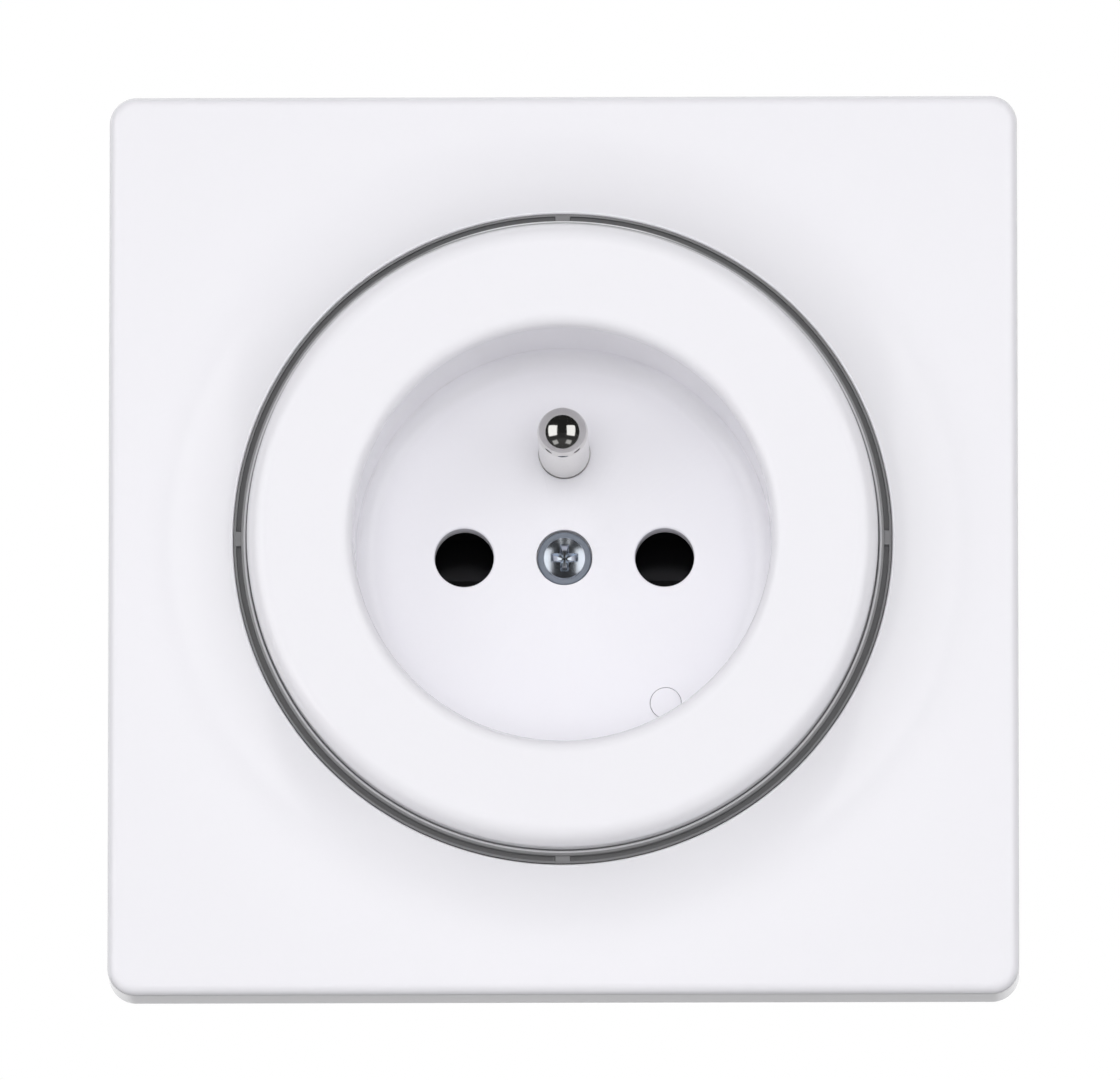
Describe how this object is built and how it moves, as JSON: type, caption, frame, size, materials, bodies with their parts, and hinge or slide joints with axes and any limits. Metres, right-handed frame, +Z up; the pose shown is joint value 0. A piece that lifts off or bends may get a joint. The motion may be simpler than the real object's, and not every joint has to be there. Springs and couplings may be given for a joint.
{
  "type": "wall socket",
  "caption": "Square white flush wall socket with a round recess, shuttered pin holes, an earth pin, a light ring and a rear housing for a flush box",
  "frame": {"origin": "on the socket's axis, in the plane of the wall", "axes": "+Z up, the socket faces -Y, +X to the right as one looks at it"},
  "size_m": [0.086, 0.053, 0.086],
  "materials": {
    "white_plastic": "gloss",
    "clear_plastic": "clear, unlit, so the dark gap behind it shows",
    "nickel": "polished nickel",
    "zinc_steel": "blue zinc",
    "plated_sheet": "zinc plated sheet",
    "grey_plastic": "fine spark finish",
    "black_plastic": "satin",
    "brass": "satin",
    "spring_steel": "drawn wire",
    "board": "green laminate",
    "can_aluminium": "satin",
    "ribbon": "satin",
    "lamp": "clear dome over a white pad"
  },
  "bodies": {
    "root": {"cover_frame": "white_plastic", "socket_insert": "white_plastic", "light_ring": "clear_plastic", "earth_pin": "nickel", "centre_screw": "zinc_steel", "mounting_plate": "plated_sheet", "rear_housing": "grey_plastic", "contact_carrier": "grey_plastic", "shutter_spring": "spring_steel", "tactile_switch": "black_plastic", "centre_nut": "brass", "earth_strap": "brass", "live_contact": "brass", "neutral_contact": "brass", "live_busbar": "brass", "neutral_busbar": "brass", "control_board": "board", "light_board": "board", "relay": "black_plastic", "power_module": "black_plastic", "capacitor": "can_aluminium", "fuse": "black_plastic", "radio_module": "plated_sheet", "light_ribbon": "ribbon", "ribbon_socket": "ribbon", "live_terminal": "brass", "live_terminal_screw": "zinc_steel", "neutral_terminal": "brass", "neutral_terminal_screw": "zinc_steel", "earth_terminal": "brass", "earth_terminal_screw": "zinc_steel", "flange_screw_1": "zinc_steel", "ring_led_1": "lamp", "flange_screw_2": "zinc_steel", "ring_led_2": "lamp", "flange_screw_3": "zinc_steel", "ring_led_3": "lamp", "flange_screw_4": "zinc_steel", "ring_led_4": "lamp", "carrier_screw_1": "zinc_steel", "carrier_screw_2": "zinc_steel"},
    "shutter": {"shutter": "black_plastic"},
    "service_button": {"service_button": "white_plastic", "switch_plunger": "black_plastic"}
  },
  "joints": [
    {"name": "shutter_slide", "type": "slide", "parent": "root", "child": "shutter", "axis": [0, 0, -1], "range_m": [0, 0.0064], "stiffness_N_per_m": 150, "springref_m": -0.004, "deforming": ["shutter_spring"]},
    {"name": "button_press", "type": "slide", "parent": "root", "child": "service_button", "axis": [0, 1, 0], "range_m": [0, 0.0005], "stiffness_N_per_m": 600, "springref_m": -0.0005}
  ]
}
